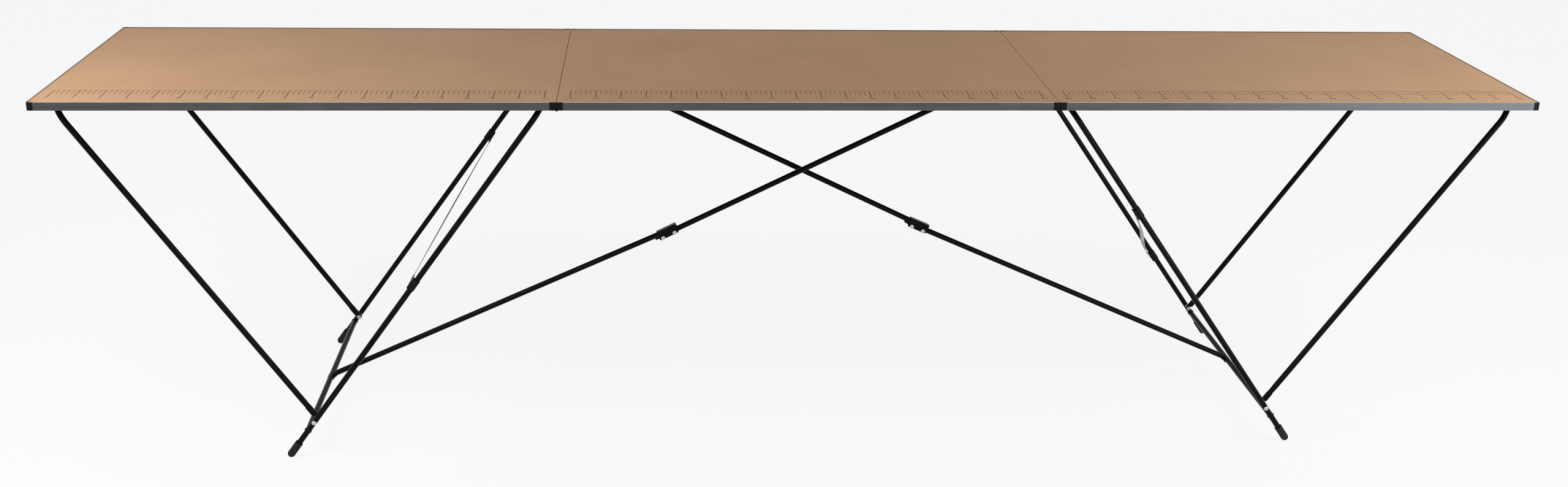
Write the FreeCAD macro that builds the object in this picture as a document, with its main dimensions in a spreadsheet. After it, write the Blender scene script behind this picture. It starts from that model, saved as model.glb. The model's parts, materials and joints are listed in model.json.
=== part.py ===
import FreeCAD, Part
import math
import os
import Sketcher

from FreeCAD import Placement, Rotation, Vector

# Folding three-section trestle table: three framed top panels hinged end to end, a tubular leg frame and
# brace under each outer panel, and two crossing stays with folding knees under the middle panel.
# Millimetres, +Z up, X along the table, origin on the floor under its centre.

DIMENSIONS = [
    ("table_height", 775, "floor to the top of the rails"),
    ("table_depth", 600, "front edge to rear edge"),
    ("panel_length", 999.6, "length of one top panel"),
    ("panel_gap", 0.4, "gap between two neighbouring panels"),
    ("board_thickness", 5, "top board"),
    ("board_fit", 0.1, "play of the board in its groove"),
    ("rail_height", 16, "edge profile, top to bottom"),
    ("rail_wall", 1.5, "edge profile, outer wall"),
    ("lip_thickness", 1, "edge profile, lip over the board"),
    ("lip_width", 3.6, "edge profile, lip over the board"),
    ("end_lip_width", 2, "edge profile at the table's ends, lip over the board"),
    ("board_end_gap", 0.4, "board short of its panel's end at a junction"),
    ("ledge_thickness", 1.2, "edge profile, ledge under the board"),
    ("ledge_width", 8, "edge profile, ledge under the board"),
    ("flange_thickness", 1.5, "edge profile, bottom flange"),
    ("flange_width", 10, "edge profile, bottom flange"),
    ("cap_length", 13, "corner cap along each side"),
    ("cap_corner_radius", 5, "rounded corner of the caps at the table's ends"),
    ("cap_edge_radius", 0.8, "rounded top edges of a corner cap"),
    ("tongue_length", 18, "corner cap tongue inside a rail"),
    ("tongue_fit", 0.1, "play of a tongue in its rail"),
    ("hinge_inset", 36, "front edge of the table to the middle of a hinge"),
    ("hinge_length", 40, "hinge, along its pin"),
    ("hinge_drop", 3.6, "rail bottom to hinge axis"),
    ("leaf_width", 24, "hinge leaf from the axis to its edge"),
    ("leaf_thickness", 1.5, "hinge leaf"),
    ("leaf_setback", 4, "hinge leaf clear of the other leaf's knuckles"),
    ("knuckle_radius", 3.1, "hinge knuckle"),
    ("knuckle_gap", 0.4, "play between neighbouring knuckles"),
    ("hinge_pin_radius", 1.5, "hinge pin"),
    ("running_fit", 0.05, "radial clearance of pins and turning tubes"),
    ("tube_diameter", 12, "all the frame tubes"),
    ("tube_wall", 1.2, "all the frame tubes"),
    ("leg_bend_radius", 28, "bends of the leg frame, on the tube's axis"),
    ("brace_bend_radius", 52, "bends of the brace, on the tube's axis"),
    ("leg_pivot_offset", 34, "leg frame pivot outward from the panel hinge"),
    ("leg_pivot_drop", 26, "leg frame pivot below the top"),
    ("leg_inset", 34, "leg axis in from the table's edge, at the pivot"),
    ("leg_splay", 12, "leg axis further out at the foot than at the pivot"),
    ("leg_reach", 530, "foot outward from the leg frame pivot"),
    ("foot_radius", 8, "rubber foot cap"),
    ("foot_length", 30, "rubber foot cap, mouth to the centre of its round end"),
    ("foot_wall", 4, "rubber between the tube's end and the centre of the round end"),
    ("brace_pivot_inset", 25.8, "brace pivot in from the table's end"),
    ("brace_pivot_drop", 12.7, "brace pivot below the top"),
    ("brace_step", 11, "brace arm in from the leg axis at the pivot"),
    ("stud_height", 80, "hook stud above the floor"),
    ("stud_radius", 3, "hook stud shank"),
    ("stud_head_radius", 4.8, "hook stud head and end flange"),
    ("stud_head_thickness", 2.8, "hook stud head and end flange"),
    ("stud_head_round", 1.8, "hook stud head, rounding of its rim"),
    ("stud_play", 0.4, "hook blade from the stud's end flange"),
    ("stud_seat", 0.15, "hook stud head from the leg tube"),
    ("hook_clearance", 0.3, "hook notch round the stud"),
    ("blade_width", 12.4, "flattened lower end of the brace"),
    ("blade_thickness", 3.4, "flattened lower end of the brace"),
    ("blade_length", 24, "flattened lower end of the brace, up from the stud"),
    ("blade_taper", 20, "from round tube to flattened end"),
    ("crossbar_offset", 26, "crossbar below the stud, along the leg"),
    ("weld_gap", 0.05, "crossbar end to leg tube"),
    ("stay_pivot_inset", 45, "stay pivot in from the panel hinge"),
    ("stay_pivot_drop", 17, "stay pivot below the top"),
    ("stay_lane", 15, "stay from the centre plane"),
    ("stay_bend", 2, "lower stay tube flatter than the upper one, in degrees"),
    ("knee_spacing", 28, "distance between the knee bolts"),
    ("knee_margin", 9, "knee channel beyond its bolts"),
    ("knee_drop", 3.2, "knee bolts below the axis of the tube that carries the channel"),
    ("knee_rise", 9, "swinging tube's axis above its knee bolt"),
    ("knee_below", 3.6, "knee bolt axis to the channel's open edge"),
    ("knee_wall", 1.2, "knee channel sheet"),
    ("knee_bend_radius", 2, "outside of the knee channel's bends"),
    ("knee_corner_radius", 3.5, "lower corners of the knee channel's cheeks"),
    ("side_play", 0.3, "play of a tube between two cheeks"),
    ("tube_overhang", 5.5, "tube beyond its pivot pin"),
    ("lug_end", 2, "swinging stay tube beyond its knee bolt"),
    ("lug_thickness", 6, "lug under the swinging stay tube"),
    ("lug_radius", 4.2, "lug round its knee bolt"),
    ("lug_length", 18, "lug along the swinging stay tube"),
    ("bolt_radius", 2, "knee bolt and stay pivot pin"),
    ("bolt_head_radius", 5, "knee bolt hexagon and nut, across corners"),
    ("bolt_head_height", 3.2, "knee bolt head and nut"),
    ("bolt_thread_end", 1.2, "bolt end beyond its nut"),
    ("clip_length", 20, "cradle clip along the crossbar"),
    ("clip_play", 0.3, "cradle clip round the crossbar"),
    ("clip_wall", 2.2, "cradle clip wall"),
    ("clip_setback", 10, "crossbar axis to the stay tube's end"),
    ("clip_plug", 22, "clip plug in the stay tube"),
    ("clip_opening_angle", 12, "cradle opening, back from square to the stay, in degrees"),
    ("block_half_width", 13, "leg pivot block under the board"),
    ("block_length", 24, "leg pivot block along the tube"),
    ("block_wall", 5, "leg pivot block round the tube"),
    ("block_foot", 9, "leg pivot block mounting foot beyond its side"),
    ("block_foot_thickness", 4, "leg pivot block mounting foot"),
    ("block_inset", 150, "pivot block and saddle in from the table's edge"),
    ("saddle_sheet", 1.5, "brace saddle sheet"),
    ("saddle_length", 22, "brace saddle along the tube"),
    ("saddle_foot", 8, "brace saddle mounting foot"),
    ("bracket_sheet", 2, "stay bracket sheet"),
    ("bracket_length", 34, "stay bracket base along the table"),
    ("ear_radius", 8, "stay bracket ear"),
    ("strap_width", 10, "leg strap"),
    ("strap_thickness", 1.2, "leg strap"),
    ("strap_upper_length", 270, "leg strap, upper end from the pivot along the leg"),
    ("right_strap_lower_length", 658, "right leg strap, lower end from the pivot along the leg"),
    ("left_strap_lower_length", 451, "left leg strap, lower end from the pivot along the leg"),
    ("right_strap_sag", 14, "right leg strap, sag at its middle"),
    ("left_strap_sag", 4, "left leg strap, sag at its middle"),
    ("strap_clip_length", 24, "strap clip along the leg"),
    ("strap_clip_wall", 1.2, "strap clip round the leg"),
    ("strap_pad", 2.5, "strap clip pad under its ring"),
    ("strap_lift", 0.6, "leg strap over a pad that it reaches from below"),
    ("rivet_radius", 2.8, "rivet head"),
    ("rivet_dome", 45, "rivet head, angle of its rim, in degrees"),
]

doc = FreeCAD.newDocument("folding_trestle_table")
sheet = doc.addObject("Spreadsheet::Sheet", "Sizes")
for row, (alias, number, meaning) in enumerate(DIMENSIONS, start=1):
    sheet.set(f"A{row}", meaning)
    sheet.set(f"B{row}", str(number))
    sheet.setAlias(f"B{row}", alias)
doc.recompute()

ORIGIN = Vector(0, 0, 0)
X_AXIS = Vector(1, 0, 0)
Y_AXIS = Vector(0, 1, 0)
Z_AXIS = Vector(0, 0, 1)
ALONG = {"X": Rotation(Y_AXIS, 90), "Y": Rotation(X_AXIS, -90), "Z": Rotation()}

nodes = []


def size(alias):
    return float(sheet.get(alias))


def bind(feature, **expressions):
    for name, expression in expressions.items():
        feature.setExpression(name.replace("__", "."), expression)
    return feature


def put(feature, at):
    """Bind a primitive's base point to three expressions."""
    for axis, expression in zip("xyz", at):
        feature.setExpression(f"Placement.Base.{axis}", expression)
    return feature


def box(name, length, width, height, at=None):
    solid = doc.addObject("Part::Box", name)
    bind(solid, Length=length, Width=width, Height=height)
    return put(solid, at) if at else solid


def rod(name, axis, radius, length, at=None):
    """A cylinder along one local axis, starting at a point."""
    solid = doc.addObject("Part::Cylinder", name)
    solid.Placement = Placement(ORIGIN, ALONG[axis])
    bind(solid, Radius=radius, Height=length)
    return put(solid, at) if at else solid


def ball(name, radius, at):
    solid = doc.addObject("Part::Sphere", name)
    bind(solid, Radius=radius)
    return put(solid, at)


def fuse(name, *solids):
    joined = doc.addObject("Part::MultiFuse", name)
    joined.Shapes = list(solids)
    joined.Refine = True
    return joined


def cut(name, base, *tools):
    result = doc.addObject("Part::Cut", name)
    result.Base = base
    result.Tool = tools[0] if len(tools) == 1 else fuse(name + "_tools", *tools)
    result.Refine = True
    return result


def round_edges(name, base, wanted):
    """Round the edges of a solid that a test picks, each with the radius that the test gives."""
    doc.recompute()
    rounded = doc.addObject("Part::Fillet", name)
    rounded.Base = base
    edges = []
    for index, edge in enumerate(base.Shape.Edges, start=1):
        radius = wanted(edge.BoundBox)
        if radius:
            edges.append((index, radius, radius))
    rounded.Edges = edges
    return rounded


def node(feature, label, placement=None):
    """Keep a finished piece as a node of the part."""
    feature.Label = label
    if placement is not None:
        feature.Placement = placement
    nodes.append(feature)
    return feature


def group(label, members):
    """Keep identical pieces as one node of separate solids."""
    doc.recompute()
    together = doc.addObject("Part::Compound", label)
    together.Links = members
    return node(together, label)


def origin_plane(body, role):
    return [plane for plane in body.Origin.OriginFeatures if plane.Role == role][0]


def sketch_on(body, role, name):
    sketch = body.newObject("Sketcher::SketchObject", name)
    sketch.AttachmentSupport = [(origin_plane(body, role), "")]
    sketch.MapMode = "FlatFace"
    return sketch


def worked_out(expression):
    """The number that an expression of sizes comes to."""
    return float(sheet.evalExpression(expression))


def pin_point(sketch, geometry, end, x, y, tag):
    """Tie a sketch point to two expressions, each a distance from an axis."""
    for kind, axis, expression in (("DistanceX", -2, x), ("DistanceY", -1, y)):
        if expression == "0":
            sketch.addConstraint(Sketcher.Constraint("PointOnObject", geometry, end, axis))
            continue
        number = worked_out(expression)
        index = sketch.addConstraint(Sketcher.Constraint(kind, -1, 1, geometry, end, number))
        sketch.renameConstraint(index, f"{tag}_{kind[-1].lower()}")
        sketch.setExpression(f"Constraints.{tag}_{kind[-1].lower()}", expression)


def outline(sketch, points):
    """A closed outline of straight lines through points given as pairs of expressions."""
    places = [Vector(worked_out(x), worked_out(y), 0) for x, y in points]
    count = len(places)
    for index in range(count):
        sketch.addGeometry(Part.LineSegment(places[index], places[(index + 1) % count]), False)
    for index in range(count):
        sketch.addConstraint(Sketcher.Constraint("Coincident", index, 2, (index + 1) % count, 1))
    for index, (x, y) in enumerate(points):
        pin_point(sketch, index, 1, x, y, f"corner{index}")


# Derived places, all worked out from the driving dimensions

HEIGHT = size("table_height")
PITCH = size("panel_length") + size("panel_gap")
HALF_PANEL = size("panel_length") / 2
HALF_DEPTH = size("table_depth") / 2
TUBE_RADIUS = size("tube_diameter") / 2
UNDERSIDE = HEIGHT - size("lip_thickness") - size("board_fit") - size("board_thickness")

HINGE = Vector(PITCH / 2, 0, HEIGHT - size("rail_height") - size("hinge_drop"))
LEG_PIVOT = Vector(HINGE.x + size("leg_pivot_offset"), 0, HEIGHT - size("leg_pivot_drop"))
FOOT = Vector(LEG_PIVOT.x + size("leg_reach"), 0, size("foot_radius"))
LEG_LENGTH = (FOOT - LEG_PIVOT).Length
LEG_TILT = math.degrees(math.atan2(LEG_PIVOT.z - FOOT.z, FOOT.x - LEG_PIVOT.x))
LEG_LINE = (FOOT - LEG_PIVOT).normalize()
STUD_RUN = (LEG_PIVOT.z - size("stud_height")) / -LEG_LINE.z
CROSSBAR_RUN = STUD_RUN + size("crossbar_offset")
STUD = LEG_PIVOT + LEG_LINE * STUD_RUN
CROSSBAR = LEG_PIVOT + LEG_LINE * CROSSBAR_RUN

TABLE_END = PITCH + HALF_PANEL
BRACE_PIVOT = Vector(TABLE_END - size("brace_pivot_inset"), 0, HEIGHT - size("brace_pivot_drop"))
BRACE_LENGTH = (STUD - BRACE_PIVOT).Length
BRACE_TILT = 180 - math.degrees(math.atan2(BRACE_PIVOT.z - STUD.z, BRACE_PIVOT.x - STUD.x))

STAY_PIVOT = Vector(size("stay_pivot_inset") - HINGE.x, size("stay_lane"), HEIGHT - size("stay_pivot_drop"))
STAY_END = Vector(CROSSBAR.x, size("stay_lane"), CROSSBAR.z)
STAY_CHORD = (STAY_END - STAY_PIVOT).Length
STAY_TILT = math.degrees(math.atan2(STAY_PIVOT.z - STAY_END.z, STAY_END.x - STAY_PIVOT.x))

# Both tubes of a stay are equally long, so their length is where a bent line from pivot to crossbar closes:
# seen along the tube with the channel, it runs by run_rate and climbs by rise_rate a millimetre of tube
bend = math.radians(size("stay_bend"))
run_rate = 1 + math.cos(bend)
rise_rate = math.sin(bend)
run_start = size("knee_spacing") - size("knee_rise") * math.sin(bend)
rise_start = size("knee_rise") * math.cos(bend) - size("knee_drop")
square = run_rate ** 2 + rise_rate ** 2
linear = run_rate * run_start + rise_rate * rise_start
constant = run_start ** 2 + rise_start ** 2 - STAY_CHORD ** 2
STAY_HALF = (math.sqrt(linear ** 2 - square * constant) - linear) / square
climb = math.atan2(rise_rate * STAY_HALF + rise_start, run_rate * STAY_HALF + run_start)
STAY_SWAY = math.degrees(climb)

# Side of the leg plane that each strap's lower end is on: -1 is towards the middle of the table
STRAP_LOWER_FACE = {"left": 1, "right": -1}

# On the left stay the knee channel is bolted to the upper tube, and on the right stay to the lower one;
# the tilts are those of the upper and the lower tube
CHANNEL_SIDE = "left"
STAY_TILTS = {
    "left": (STAY_TILT + STAY_SWAY, STAY_TILT + STAY_SWAY - size("stay_bend")),
    "right": (STAY_TILT - STAY_SWAY + size("stay_bend"), STAY_TILT - STAY_SWAY),
}


def knee_place(side, run):
    """A place on the line of the knee bolts, a given way down from the upper one."""
    upper_tilt, lower_tilt = STAY_TILTS[side]
    drop = Vector(0, 0, -size("knee_drop"))
    if side == CHANNEL_SIDE:
        reach = Vector(STAY_HALF + run, 0, 0)
        return STAY_PIVOT + Rotation(Y_AXIS, upper_tilt).multVec(reach + drop)
    reach = Vector(run - STAY_HALF - size("knee_spacing"), 0, 0)
    return STAY_END + Rotation(Y_AXIS, lower_tilt).multVec(reach + drop)


def half_width_at(run):
    """Distance of a splayed leg's axis from the centre plane, a given way down the leg."""
    return HALF_DEPTH - size("leg_inset") + size("leg_splay") * run / LEG_LENGTH


def on_side(turn, position, tilt=0):
    """A place on the right side of the table, or turned half round onto the left side."""
    return Placement(ORIGIN, Rotation(Z_AXIS, turn)) * Placement(position, Rotation(Y_AXIS, tilt))


# Expressions that several pieces share

TUBE_R = "Sizes.tube_diameter / 2"
TURNING_R = "(Sizes.tube_diameter / 2 + Sizes.running_fit)"
GROOVE = "(Sizes.lip_thickness + Sizes.board_thickness + 2 * Sizes.board_fit)"
UNDER_BOARD = "(Sizes.lip_thickness + Sizes.board_fit + Sizes.board_thickness)"
LEG_TOP_Y = "(Sizes.table_depth / 2 - Sizes.leg_inset)"
BRACE_Y = f"({LEG_TOP_Y} - Sizes.brace_step)"


def edge_rail(name, length, lip):
    """An extruded edge profile: ledge under the board, bottom flange and, where it has one, a lip."""
    body = doc.addObject("PartDesign::Body", name)
    section = sketch_on(body, "YZ_Plane", name + "_section")
    ledge_bottom = f"-({GROOVE} + Sizes.ledge_thickness)"
    flange_top = "-(Sizes.rail_height - Sizes.flange_thickness)"
    around_board = [("0", f"-{GROOVE}")]
    if lip:
        around_board = [
            ("0", "0"),
            (lip, "0"),
            (lip, "-Sizes.lip_thickness"),
            ("Sizes.rail_wall", "-Sizes.lip_thickness"),
            ("Sizes.rail_wall", f"-{GROOVE}"),
        ]
    outline(section, around_board + [
        ("Sizes.ledge_width", f"-{GROOVE}"),
        ("Sizes.ledge_width", ledge_bottom),
        ("Sizes.rail_wall", ledge_bottom),
        ("Sizes.rail_wall", flange_top),
        ("Sizes.flange_width", flange_top),
        ("Sizes.flange_width", "-Sizes.rail_height"),
        ("0", "-Sizes.rail_height"),
    ])
    bar = body.newObject("PartDesign::Pad", name + "_bar")
    bar.Profile = section
    bind(bar, Length=length)
    return body


def corner_cap(name, outer_radius, at_junction, end_first):
    """A moulded corner: a rounded block, slotted for the board, with a tongue into each rail.

    At a junction the board runs through its end, which is its local X face if end_first is true, or else Y.
    """
    block = box(name + "_block", "Sizes.cap_length", "Sizes.cap_length",
                "Sizes.rail_height", ("0", "0", "-Sizes.rail_height"))
    edge_radius = size("cap_edge_radius")

    def wanted(bounds):
        at_corner = bounds.XMax < edge_radius / 2 and bounds.YMax < edge_radius / 2
        on_top = bounds.ZMin > -edge_radius / 2
        on_outside = bounds.XMax < edge_radius / 2 or bounds.YMax < edge_radius / 2
        if at_corner:
            return outer_radius
        return edge_radius if on_top and on_outside else 0

    rounded = round_edges(name + "_rounded", block, wanted)
    inner = "(Sizes.rail_wall + Sizes.tongue_fit)"
    deep = f"(Sizes.flange_width - {inner})"
    low = "(-Sizes.rail_height + Sizes.flange_thickness + Sizes.tongue_fit)"
    tall = (f"(Sizes.rail_height - Sizes.flange_thickness - {GROOVE} - Sizes.ledge_thickness"
            " - 2 * Sizes.tongue_fit)")
    reach = "(Sizes.cap_length + Sizes.tongue_length)"
    tongue_x = box(name + "_tongue_x", f"{reach} - {inner}", deep, tall, (inner, inner, low))
    tongue_y = box(name + "_tongue_y", deep, f"{reach} - {inner}", tall, (inner, inner, low))
    wall_at = ["-Sizes.cap_length" if at_junction else "Sizes.rail_wall", "Sizes.rail_wall"]
    lip_at = ["-Sizes.cap_length" if at_junction else "Sizes.end_lip_width", "Sizes.lip_width"]
    if not end_first:
        wall_at.reverse()
        lip_at.reverse()
    wide = "3 * Sizes.cap_length"
    slot = box(name + "_slot", wide, wide, "Sizes.board_thickness + 2 * Sizes.board_fit",
               (*wall_at, f"-{GROOVE}"))
    above = box(name + "_above", wide, wide, "2 * Sizes.lip_thickness", (*lip_at, "-Sizes.lip_thickness"))
    return cut(name, fuse(name + "_moulding", rounded, tongue_x, tongue_y), slot, above)


def top_panel(side, middle, left_end, right_end):
    """One framed top panel; its ends are named, and an end named outer is an end of the whole table."""
    left = middle - HALF_PANEL
    right = middle + HALF_PANEL
    cap = size("cap_length")
    wall = "(Sizes.rail_wall + Sizes.board_fit)"
    margins = [wall if end == "outer" else "Sizes.board_end_gap" for end in (left_end, right_end)]
    board = box(side + "_board_sheet", f"Sizes.panel_length - {margins[0]} - {margins[1]}",
                f"Sizes.table_depth - 2 * {wall}", "Sizes.board_thickness")
    corner = Vector(left + worked_out(margins[0]), worked_out(wall) - HALF_DEPTH, UNDERSIDE)
    node(board, side + "_board", Placement(corner, Rotation()))

    long_rail = "Sizes.panel_length - 2 * Sizes.cap_length"
    short_rail = "Sizes.table_depth - 2 * Sizes.cap_length"
    rails = [
        ("front_rail", long_rail, Vector(left + cap, -HALF_DEPTH, HEIGHT), 0),
        ("rear_rail", long_rail, Vector(right - cap, HALF_DEPTH, HEIGHT), 180),
        (left_end + "_end_rail", short_rail, Vector(left, HALF_DEPTH - cap, HEIGHT), -90),
        (right_end + "_end_rail", short_rail, Vector(right, cap - HALF_DEPTH, HEIGHT), 90),
    ]
    lips = {"front_rail": "Sizes.lip_width", "rear_rail": "Sizes.lip_width",
            "outer_end_rail": "Sizes.end_lip_width"}
    for name, length, corner, turn in rails:
        rail = edge_rail(f"{side}_{name}", length, lips.get(name))
        node(rail, f"{side}_{name}", Placement(corner, Rotation(Z_AXIS, turn)))

    corners = [
        (left, -HALF_DEPTH, 0, left_end),
        (right, -HALF_DEPTH, 90, right_end),
        (right, HALF_DEPTH, 180, right_end),
        (left, HALF_DEPTH, -90, left_end),
    ]
    caps = []
    for index, (x, y, turn, end) in enumerate(corners):
        radius = size("cap_corner_radius") if end == "outer" else size("cap_edge_radius")
        moulded = corner_cap(f"{side}_cap{index}", radius, end != "outer", index % 2 == 0)
        moulded.Placement = Placement(Vector(x, y, HEIGHT), Rotation(Z_AXIS, turn))
        caps.append(moulded)
    group(side + "_corner_caps", caps)


# Hinges between the panels: each leaf lies under an end rail, with the axis just below the rails

KNUCKLE_COUNT = 3


def hinge_leaf(name, knuckles):
    """A hinge leaf towards local +X, with the knuckles of the given numbers along the pin."""
    pitch = f"((Sizes.hinge_length + Sizes.knuckle_gap) / {KNUCKLE_COUNT})"
    long = f"({pitch} - Sizes.knuckle_gap)"
    low = "(Sizes.hinge_drop - Sizes.leaf_thickness)"
    plate = box(name + "_plate", "Sizes.leaf_width - Sizes.leaf_setback", "Sizes.hinge_length",
                "Sizes.leaf_thickness", ("Sizes.leaf_setback", "-Sizes.hinge_length / 2", low))
    pieces = [plate]
    for number in knuckles:
        start = f"(-Sizes.hinge_length / 2 + {number} * {pitch})"
        pieces.append(box(f"{name}_neck{number}", "Sizes.leaf_setback + Sizes.leaf_thickness", long,
                          "Sizes.leaf_thickness", ("0", start, low)))
        pieces.append(rod(f"{name}_knuckle{number}", "Y", "Sizes.knuckle_radius", long, ("0", start, "0")))
    hole = rod(name + "_hole", "Y", "Sizes.hinge_pin_radius + Sizes.running_fit",
               "2 * Sizes.hinge_length", ("0", "-Sizes.hinge_length", "0"))
    return cut(name, fuse(name + "_rolled", *pieces), hole)


def hinges():
    middle_leaves = []
    pins = []
    for side, turn in SIDES:
        outer_leaves = []
        for index, y in enumerate((size("hinge_inset") - HALF_DEPTH, HALF_DEPTH - size("hinge_inset"))):
            axis = Vector(HINGE.x, y, HINGE.z)
            outer = hinge_leaf(f"{side}_outer_leaf{index}", [1])
            outer.Placement = on_side(turn, axis)
            outer_leaves.append(outer)
            inner = hinge_leaf(f"{side}_inner_leaf{index}", [0, 2])
            inner.Placement = on_side(turn, axis) * Placement(ORIGIN, Rotation(Z_AXIS, 180))
            middle_leaves.append(inner)
            pin = rod(f"{side}_hinge_pin{index}", "Y", "Sizes.hinge_pin_radius", "Sizes.hinge_length")
            start = Placement(Vector(0, -size("hinge_length") / 2, 0), ALONG["Y"])
            pin.Placement = on_side(turn, axis) * start
            pins.append(pin)
        group(side + "_hinge_leaves", outer_leaves)
    group("middle_hinge_leaves", middle_leaves)
    group("hinge_pins", pins)


# Leg frames: one U-bent tube, a welded crossbar, foot caps, hook studs and a strap between the legs

def bent_half(name, bend_size, corner_width, end_width, end_run):
    """Half of a U-bent tube and its mirror image: base along Y through the origin, arm along X."""
    body = doc.addObject("PartDesign::Body", name)
    path = sketch_on(body, "XY_Plane", name + "_path")
    radius = size(bend_size)
    corner = worked_out(corner_width)
    end = Vector(worked_out(end_run), worked_out(end_width), 0)
    arm = (end - Vector(0, corner, 0)).normalize()
    turn = math.acos(arm.y)
    setback = radius * math.tan(turn / 2)
    leave = Vector(0, corner - setback, 0)
    arrive = Vector(0, corner, 0) + arm * setback
    circle = Part.Circle(leave + X_AXIS * radius, Z_AXIS, radius)
    path.addGeometry(Part.LineSegment(ORIGIN, leave), False)
    path.addGeometry(Part.ArcOfCircle(circle, math.pi - turn, math.pi), False)
    path.addGeometry(Part.LineSegment(arrive, end), False)
    path.addGeometry(Part.Point(Vector(0, corner, 0)), True)
    path.addConstraint(Sketcher.Constraint("Coincident", 0, 1, -1, 1))
    path.addConstraint(Sketcher.Constraint("PointOnObject", 0, 2, -2))
    path.addConstraint(Sketcher.Constraint("Tangent", 0, 2, 1, 2))
    path.addConstraint(Sketcher.Constraint("Tangent", 1, 1, 2, 1))
    path.addConstraint(Sketcher.Constraint("PointOnObject", 3, 1, 2))
    bend_mark = path.addConstraint(Sketcher.Constraint("Radius", 1, radius))
    path.renameConstraint(bend_mark, "bend")
    path.setExpression("Constraints.bend", "Sizes." + bend_size)
    pin_point(path, 3, 1, "0", corner_width, "corner")
    pin_point(path, 2, 2, end_run, end_width, "end")
    ring = sketch_on(body, "XZ_Plane", name + "_ring")
    for index, (word, inset) in enumerate((("outside", ""), ("inside", " - Sizes.tube_wall"))):
        expression = TUBE_R + inset
        number = worked_out(expression)
        ring.addGeometry(Part.Circle(ORIGIN, Z_AXIS, number), False)
        ring.addConstraint(Sketcher.Constraint("Coincident", index, 3, -1, 1))
        mark = ring.addConstraint(Sketcher.Constraint("Radius", index, number))
        ring.renameConstraint(mark, word)
        ring.setExpression(f"Constraints.{word}", expression)
    pipe = body.newObject("PartDesign::AdditivePipe", name + "_pipe")
    pipe.Profile = ring
    pipe.Spine = (path, ["Edge1", "Edge2", "Edge3"])
    doc.recompute()
    mirrored = body.newObject("PartDesign::Mirrored", name + "_mirrored")
    mirrored.Originals = [pipe]
    mirrored.MirrorPlane = (origin_plane(body, "XZ_Plane"), [""])
    body.Tip = mirrored
    return body


def arm_place(run, sign):
    """A place on a leg's axis, with local X along that leg."""
    base = Vector(run, sign * half_width_at(run), 0)
    splay = math.degrees(math.atan2(size("leg_splay"), LEG_LENGTH))
    return Placement(base, Rotation(Z_AXIS, sign * splay))


def foot_cap(name):
    """A rubber cap with a round end, its bore ending short of the round end's centre."""
    sleeve = rod(name + "_sleeve", "X", "Sizes.foot_radius", "Sizes.foot_length",
                 ("-Sizes.foot_length", "0", "0"))
    tip = ball(name + "_tip", "Sizes.foot_radius", ("0", "0", "0"))
    bore = rod(name + "_bore", "X", TURNING_R, "Sizes.foot_length",
               ("-Sizes.foot_length - Sizes.foot_wall", "0", "0"))
    return cut(name, fuse(name + "_rubber", sleeve, tip), bore)


def hook_stud(name, outer_width):
    """A stud through a leg: head outside the leg, end flange inside the hook blade, shank along Y."""
    flange = f"({BRACE_Y} - Sizes.blade_thickness / 2 - Sizes.stud_play)"
    head = f"({outer_width} + {TUBE_R} + Sizes.stud_seat)"
    shank = rod(name + "_shank", "Y", "Sizes.stud_radius", f"{head} - {flange}", ("0", flange, "0"))
    outside = rod(name + "_head", "Y", "Sizes.stud_head_radius", "Sizes.stud_head_thickness",
                  ("0", head, "0"))
    inside = rod(name + "_flange", "Y", "Sizes.stud_head_radius", "Sizes.stud_head_thickness",
                 ("0", f"{flange} - Sizes.stud_head_thickness", "0"))
    halfway = worked_out(head) + size("stud_head_thickness") / 2

    def wanted(bounds):
        return size("stud_head_round") if bounds.YMin > halfway else 0

    return fuse(name, shank, round_edges(name + "_domed", outside, wanted), inside)


def strap(name, chord, sag):
    """A flat strap along local X from the origin, bowed down along local Z by its sag."""
    radius = (chord ** 2 + 4 * sag ** 2) / (8 * sag)
    width = "Sizes.strap_width"
    lift = str(radius - sag)
    outer = rod(name + "_outer", "Y", f"{radius} + Sizes.strap_thickness", width,
                (str(chord / 2), f"-{width} / 2", lift))
    inner = rod(name + "_inner", "Y", str(radius), width, (str(chord / 2), f"-{width} / 2", lift))
    window = box(name + "_window", str(chord), width, f"{2 * sag} + 2 * Sizes.strap_thickness",
                 ("0", f"-{width} / 2", f"-{sag} - 1.5 * Sizes.strap_thickness"))
    bow = doc.addObject("Part::Common", name)
    bow.Base = cut(name + "_bow", outer, inner)
    bow.Tool = window
    return bow


def strap_clip(name):
    """A ring round the leg with a pad under it for the strap's end."""
    ring = rod(name + "_ring", "X", f"{TURNING_R} + Sizes.strap_clip_wall", "Sizes.strap_clip_length",
               ("-Sizes.strap_clip_length / 2", "0", "0"))
    pad = box(name + "_pad", "Sizes.strap_clip_length", "Sizes.tube_diameter",
              f"{TURNING_R} + Sizes.strap_pad",
              ("-Sizes.strap_clip_length / 2", f"-{TUBE_R}", f"-{TURNING_R} - Sizes.strap_pad"))
    bore = rod(name + "_bore", "X", TURNING_R, "2 * Sizes.strap_clip_length",
               ("-Sizes.strap_clip_length", "0", "0"))
    return cut(name, fuse(name + "_moulding", ring, pad), bore)


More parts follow.
